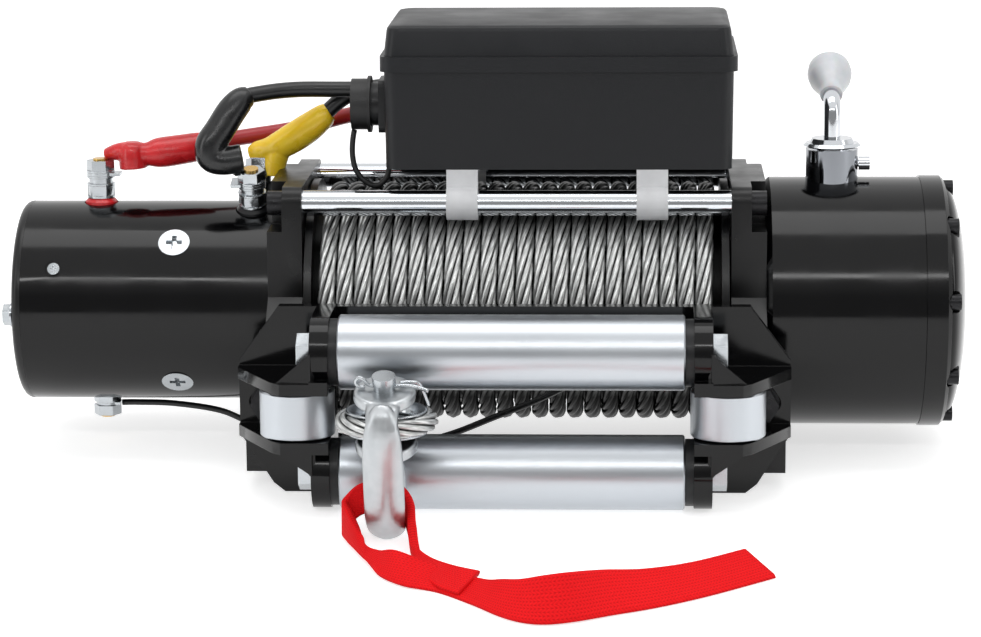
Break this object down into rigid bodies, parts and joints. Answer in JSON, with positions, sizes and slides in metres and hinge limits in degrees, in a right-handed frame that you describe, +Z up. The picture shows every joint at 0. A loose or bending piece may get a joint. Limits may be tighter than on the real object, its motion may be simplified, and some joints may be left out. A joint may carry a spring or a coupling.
{
  "type": "electric recovery winch",
  "caption": "Electric recovery winch with motor, wire rope drum, planetary gearbox, roller fairlead, control box, clevis hook and red pull strap.",
  "frame": {"origin": "centre of the foot bolt pattern, on the underside of the feet", "axes": "+X along the drum from the motor to the gearbox, -Y towards the fairlead and hook, +Z up"},
  "size_m": [0.515, 0.3842, 0.2494],
  "materials": {
    "gloss_black": "gloss black enamel",
    "satin_black": "satin black powder coat",
    "bright_zinc": "bright zinc plate",
    "forged_zinc": "zinc plate on forged steel",
    "chrome": "polished chrome",
    "brass": "brass",
    "copper": "copper",
    "dark_steel": "plain steel",
    "wire_rope": "galvanised steel wire rope",
    "red_plastic": "red plastic",
    "yellow_plastic": "yellow vinyl",
    "black_vinyl": "black vinyl",
    "red_vinyl": "red cable jacket",
    "black_plastic": "moulded black plastic",
    "charcoal_plastic": "textured charcoal plastic",
    "clamp_plastic": "light grey coated strap",
    "knob_plastic": "frosted grey plastic",
    "rubber": "black rubber",
    "webbing": "red woven webbing"
  },
  "bodies": {
    "winch": {"motor_housing": "gloss_black", "motor_end_cap": "satin_black", "motor_through_bolts": "bright_zinc", "pole_screws": "bright_zinc", "pole_shoes": "dark_steel", "field_coils": "copper", "brush_holder": "copper", "terminal_studs": "brass", "terminal_nuts": "bright_zinc", "red_insulator": "red_plastic", "black_insulators": "black_plastic", "motor_support": "satin_black", "gear_support": "satin_black", "tie_rods": "chrome", "tie_rod_screws": "gloss_black", "drum_bushes": "brass", "rope_lead": "wire_rope", "rope_ferrule": "bright_zinc", "thimble": "bright_zinc", "gear_housing": "satin_black", "gear_cover": "satin_black", "cover_screws": "gloss_black", "clutch_boss": "chrome", "clutch_stop_screw": "chrome", "fairlead_frame": "gloss_black", "roller_bolts": "bright_zinc", "roller_washers": "black_plastic", "fairlead_bolts": "gloss_black", "control_box": "charcoal_plastic", "box_lid": "charcoal_plastic", "box_clamps": "clamp_plastic", "contactors": "brass", "remote_socket": "black_plastic", "red_cable": "red_vinyl", "yellow_cable": "black_vinyl", "black_cable": "black_vinyl", "red_boot": "red_plastic", "yellow_boot": "yellow_plastic", "black_boot": "black_vinyl", "cable_lugs": "bright_zinc", "earth_wire": "black_vinyl"},
    "drum": {"drum": "satin_black", "rope_core": "wire_rope", "rope_winding": "wire_rope"},
    "armature": {"armature_shaft": "dark_steel", "armature_core": "dark_steel", "commutator": "copper", "drive_shaft": "dark_steel"},
    "upper_roller": {"upper_roller": "bright_zinc"},
    "lower_roller": {"lower_roller": "bright_zinc"},
    "left_roller": {"left_roller": "bright_zinc"},
    "right_roller": {"right_roller": "bright_zinc"},
    "clutch": {"clutch_lever": "chrome", "clutch_knob": "knob_plastic"},
    "hook": {"hook": "forged_zinc", "clevis_pin": "bright_zinc", "cotter_pin": "bright_zinc", "pull_strap": "webbing"},
    "latch": {"hook_latch": "dark_steel"},
    "dust_cap": {"socket_cap": "rubber"}
  },
  "joints": [
    {"name": "drum_spin", "type": "hinge", "parent": "winch", "child": "drum", "pos_m": [0, 0, 0.075], "axis": [1, 0, 0], "continuous": true},
    {"name": "armature_spin", "type": "hinge", "parent": "winch", "child": "armature", "pos_m": [-0.184, 0, 0.075], "axis": [1, 0, 0], "continuous": true},
    {"name": "upper_roller_spin", "type": "hinge", "parent": "winch", "child": "upper_roller", "pos_m": [0, -0.122, 0.0711], "axis": [1, 0, 0], "continuous": true},
    {"name": "lower_roller_spin", "type": "hinge", "parent": "winch", "child": "lower_roller", "pos_m": [0, -0.122, 0.0086], "axis": [1, 0, 0], "continuous": true},
    {"name": "left_roller_spin", "type": "hinge", "parent": "winch", "child": "left_roller", "pos_m": [-0.11, -0.122, 0.038], "axis": [0, 0, 1], "continuous": true},
    {"name": "right_roller_spin", "type": "hinge", "parent": "winch", "child": "right_roller", "pos_m": [0.11, -0.122, 0.038], "axis": [0, 0, 1], "continuous": true},
    {"name": "clutch_turn", "type": "hinge", "parent": "winch", "child": "clutch", "pos_m": [0.168, 0, 0.16], "axis": [0, 0, 1], "range_deg": [0, 90]},
    {"name": "hook_swing", "type": "hinge", "parent": "winch", "child": "hook", "pos_m": [-0.061, -0.171, 0.047], "axis": [0, -0.2924, 0.9563], "range_deg": [-25, 25]},
    {"name": "latch_swing", "type": "hinge", "parent": "hook", "child": "latch", "pos_m": [-0.061, -0.17591, 0.01517], "axis": [1, 0, 0], "range_deg": [-28, 0], "stiffness_Nm_per_rad": 0.05},
    {"name": "cap_slide", "type": "slide", "parent": "winch", "child": "dust_cap", "axis": [-1, 0, 0], "range_m": [0, 0.018]}
  ]
}
